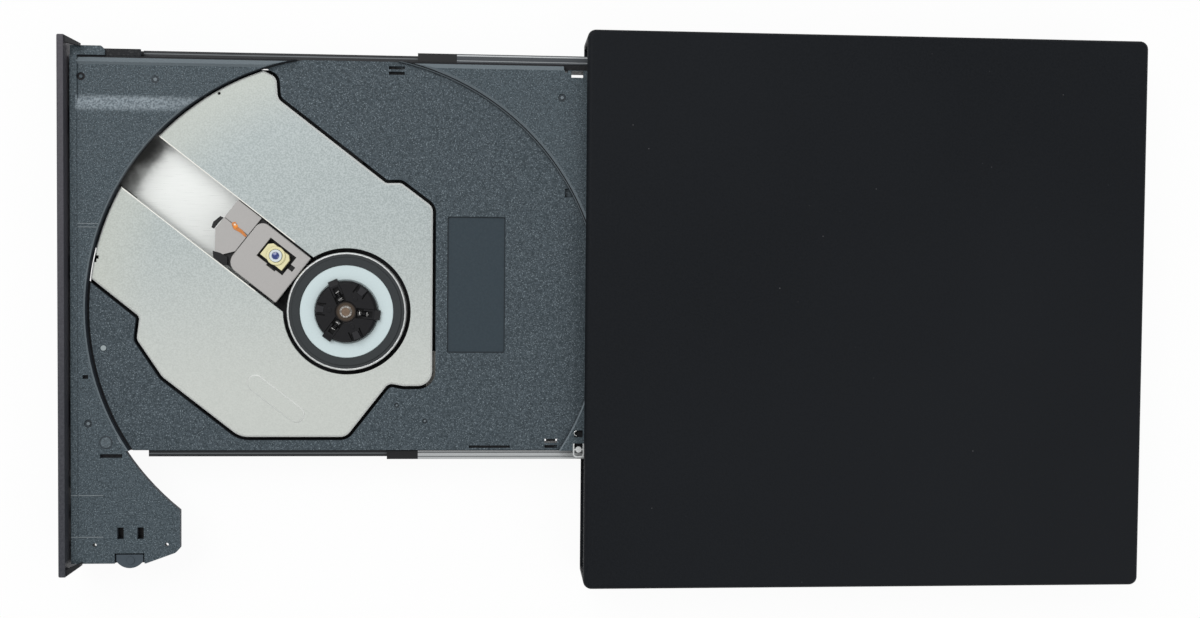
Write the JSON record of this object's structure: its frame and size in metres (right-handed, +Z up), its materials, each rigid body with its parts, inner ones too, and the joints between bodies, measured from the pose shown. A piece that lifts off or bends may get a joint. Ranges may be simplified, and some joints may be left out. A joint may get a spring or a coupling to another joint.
{
  "type": "external disc drive",
  "caption": "Slim external optical disc drive with its tray slid out, showing the disc recess, spindle hub and slanted pickup slot.",
  "frame": {"origin": "middle of the open drive's footprint, on the surface the feet stand on", "axes": "+Z up; -X is the way the tray slides out; +Y is the tray's left side, seen from the bezel"},
  "size_m": [0.2636, 0.135, 0.0175],
  "materials": {
    "housing_plastic": "fine matte texture",
    "rubber": "matte",
    "screw_steel": "satin",
    "chassis_steel": "satin",
    "guide_plastic": "satin",
    "rail_steel": "bright satin",
    "black_plastic": "satin",
    "board_green": "satin",
    "chip_black": "matte",
    "ribbon": "satin",
    "socket_steel": "satin",
    "socket_black": "satin",
    "tray_plastic": "fine speckled grain",
    "bezel_plastic": "satin",
    "light_plastic": "clear",
    "latch_plastic": "satin",
    "pale_plastic": "satin",
    "cover_metal": "fine speckled coat",
    "frame_plastic": "matte",
    "polished_steel": "polished",
    "copper": "satin",
    "hub_plastic": "satin",
    "spring_steel": "bright",
    "carriage_metal": "cast",
    "pickup_metal": "matte",
    "lens_holder_plastic": "satin",
    "lens_glass": "polished"
  },
  "bodies": {
    "housing": {"top_cover": "housing_plastic", "bottom_cover": "housing_plastic", "rubber_feet": "rubber", "case_screws": "screw_steel", "drive_screws": "screw_steel", "drive_chassis": "chassis_steel", "chassis_lid": "chassis_steel", "left_guide": "guide_plastic", "right_guide": "guide_plastic", "main_board": "board_green", "board_components": "chip_black", "ribbon_cable": "ribbon", "latch_post": "chassis_steel", "bridge_board": "board_green", "bridge_connector": "chip_black", "usb_socket": "socket_steel", "power_socket": "socket_black"},
    "left_rail": {"left_channel": "rail_steel", "left_channel_cap": "black_plastic"},
    "right_rail": {"right_channel": "rail_steel", "right_channel_cap": "black_plastic"},
    "tray": {"tray": "tray_plastic", "bezel": "bezel_plastic", "left_runner": "black_plastic", "right_runner": "black_plastic", "tray_ribbon": "ribbon", "tray_clip": "rail_steel", "tray_pin": "pale_plastic", "traverse_cover": "cover_metal", "traverse_frame": "frame_plastic", "bottom_shield": "chassis_steel", "main_guide_rod": "polished_steel", "side_guide_rod": "polished_steel", "feed_motor": "polished_steel", "spindle_base": "chassis_steel", "stator": "copper", "mount_dampers": "rubber", "damper_screws": "screw_steel", "panel_board": "board_green", "eject_switch": "chip_black", "activity_light": "light_plastic", "latch_solenoid": "socket_black"},
    "spindle": {"turntable": "polished_steel", "rubber_ring": "rubber", "turntable_ring": "pale_plastic", "centring_hub": "hub_plastic", "spindle_shaft": "polished_steel", "hub_lug_springs": "spring_steel"},
    "lug_a": {"hub_lug_a": "hub_plastic"},
    "lug_b": {"hub_lug_b": "hub_plastic"},
    "lug_c": {"hub_lug_c": "hub_plastic"},
    "pickup": {"pickup_carriage": "carriage_metal", "pickup_cover": "pickup_metal", "pickup_end_plate": "pickup_metal", "pickup_flex": "copper"},
    "lens": {"lens_holder": "lens_holder_plastic", "objective_lens": "lens_glass"},
    "feed_screw": {"lead_screw": "polished_steel"},
    "eject_button": {"eject_button": "bezel_plastic"},
    "latch": {"latch_lever": "latch_plastic"}
  },
  "joints": [
    {"name": "tray_slide", "type": "slide", "parent": "housing", "child": "tray", "axis": [1, 0, 0], "range_m": [0, 0.1242]},
    {"name": "left_rail_slide", "type": "slide", "parent": "housing", "child": "left_rail", "axis": [1, 0, 0], "range_m": [0, 0.0621]},
    {"name": "right_rail_slide", "type": "slide", "parent": "housing", "child": "right_rail", "axis": [1, 0, 0], "range_m": [0, 0.0621]},
    {"name": "eject_button_press", "type": "slide", "parent": "tray", "child": "eject_button", "axis": [1, 0, 0], "range_m": [0, 0.0008], "stiffness_N_per_m": 500},
    {"name": "latch_swing", "type": "hinge", "parent": "tray", "child": "latch", "pos_m": [-0.1152, -0.06065, 0.011], "axis": [0, 0, 1], "range_deg": [0, 5]},
    {"name": "spindle_spin", "type": "hinge", "parent": "tray", "child": "spindle", "pos_m": [-0.0643, -0.00065, 0.011], "axis": [0, 0, 1], "continuous": true},
    {"name": "pickup_feed", "type": "slide", "parent": "tray", "child": "pickup", "axis": [-0.788, 0.6157, 0], "range_m": [0, 0.0364]},
    {"name": "lead_screw_turn", "type": "hinge", "parent": "tray", "child": "feed_screw", "pos_m": [-0.05987, 0.02127, 0.0078], "axis": [-0.788, 0.6157, 0], "range_deg": [-1, 4369]},
    {"name": "lens_focus", "type": "slide", "parent": "pickup", "child": "lens", "axis": [0, 0, 1], "range_m": [-0.0004, 0.0004], "stiffness_N_per_m": 10},
    {"name": "hub_lug_a_press", "type": "slide", "parent": "spindle", "child": "lug_a", "axis": [-0.9945, 0.1045, 0], "range_m": [0, 0.0008], "stiffness_N_per_m": 50},
    {"name": "hub_lug_b_press", "type": "slide", "parent": "spindle", "child": "lug_b", "axis": [0.4067, -0.9135, 0], "range_m": [0, 0.0008], "stiffness_N_per_m": 50},
    {"name": "hub_lug_c_press", "type": "slide", "parent": "spindle", "child": "lug_c", "axis": [0.5878, 0.809, 0], "range_m": [0, 0.0008], "stiffness_N_per_m": 50}
  ],
  "couplings": [
    {"joint": "left_rail_slide", "follows": "tray_slide", "ratio": 0.5},
    {"joint": "right_rail_slide", "follows": "tray_slide", "ratio": 0.5},
    {"joint": "lead_screw_turn", "follows": "pickup_feed", "rad_per_m": 2094.4}
  ]
}
